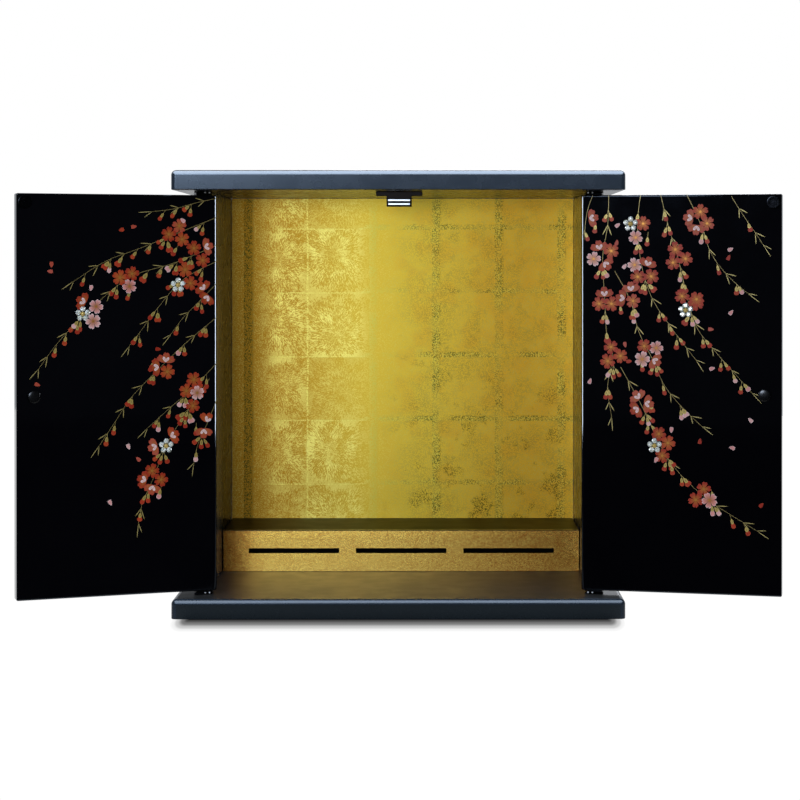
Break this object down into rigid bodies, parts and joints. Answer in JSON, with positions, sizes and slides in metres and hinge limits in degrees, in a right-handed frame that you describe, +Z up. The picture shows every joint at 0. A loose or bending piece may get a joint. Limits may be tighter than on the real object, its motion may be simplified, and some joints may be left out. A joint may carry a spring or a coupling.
{
  "type": "household altar cabinet",
  "caption": "Table-top altar cabinet in black lacquer with hinged doors, a gold-leafed back board and a low gold-fronted dais.",
  "frame": {"origin": "centre of the base board's underside", "axes": "+Z up; the open front faces -Y; +X to the viewer's right; doors modelled open as in the picture"},
  "size_m": [0.7548, 0.336, 0.4445],
  "materials": {
    "black_lacquer": "black urethane lacquer on wood board, satin to gloss",
    "gold_leaf": "gold leaf squares on a thin board",
    "gold_paint": "sprinkled gold powder under clear lacquer",
    "brown_plastic": "moulded dark brown plastic",
    "black_plastic": "moulded black plastic",
    "ferrite": "ground ferrite magnet",
    "bright_steel": "nickel-plated steel",
    "dark_steel": "black-plated steel",
    "crystal": "foil-backed cut glass stones"
  },
  "bodies": {
    "cabinet": {"base_board": "black_lacquer", "top_board": "black_lacquer", "side_panel_left": "black_lacquer", "side_panel_right": "black_lacquer", "back_panel": "black_lacquer", "gold_panel": "gold_leaf", "dais_top": "black_lacquer", "dais_front": "gold_paint", "dais_side_left": "black_lacquer", "dais_side_right": "black_lacquer", "catch_housing": "brown_plastic", "catch_magnet": "ferrite", "catch_plate_upper": "bright_steel", "catch_plate_lower": "bright_steel", "hinge_leaf_cabinet_left_top": "dark_steel", "hinge_leaf_cabinet_left_bottom": "dark_steel", "hinge_leaf_cabinet_right_top": "dark_steel", "hinge_leaf_cabinet_right_bottom": "dark_steel"},
    "left_door": {"door_left": "black_lacquer", "strike_left": "dark_steel", "knob_left": "dark_steel", "knob_cap_left": "black_plastic", "hinge_leaf_door_left_top": "dark_steel", "hinge_leaf_door_left_bottom": "dark_steel", "crystal_flower_left_1": "crystal", "crystal_flower_left_2": "crystal", "crystal_flower_left_3": "crystal"},
    "right_door": {"door_right": "black_lacquer", "strike_right": "dark_steel", "knob_right": "dark_steel", "knob_cap_right": "black_plastic", "hinge_leaf_door_right_top": "dark_steel", "hinge_leaf_door_right_bottom": "dark_steel", "crystal_flower_right_1": "crystal", "crystal_flower_right_2": "crystal", "crystal_flower_right_3": "crystal"}
  },
  "joints": [
    {"name": "left_door_swing", "type": "hinge", "parent": "cabinet", "child": "left_door", "pos_m": [-0.1923, -0.1136, 0.22225], "axis": [0, 0, 1], "range_deg": [-19.8, 160.2]},
    {"name": "right_door_swing", "type": "hinge", "parent": "cabinet", "child": "right_door", "pos_m": [0.1923, -0.1136, 0.22225], "axis": [0, 0, -1], "range_deg": [-13.1, 166.9]}
  ]
}
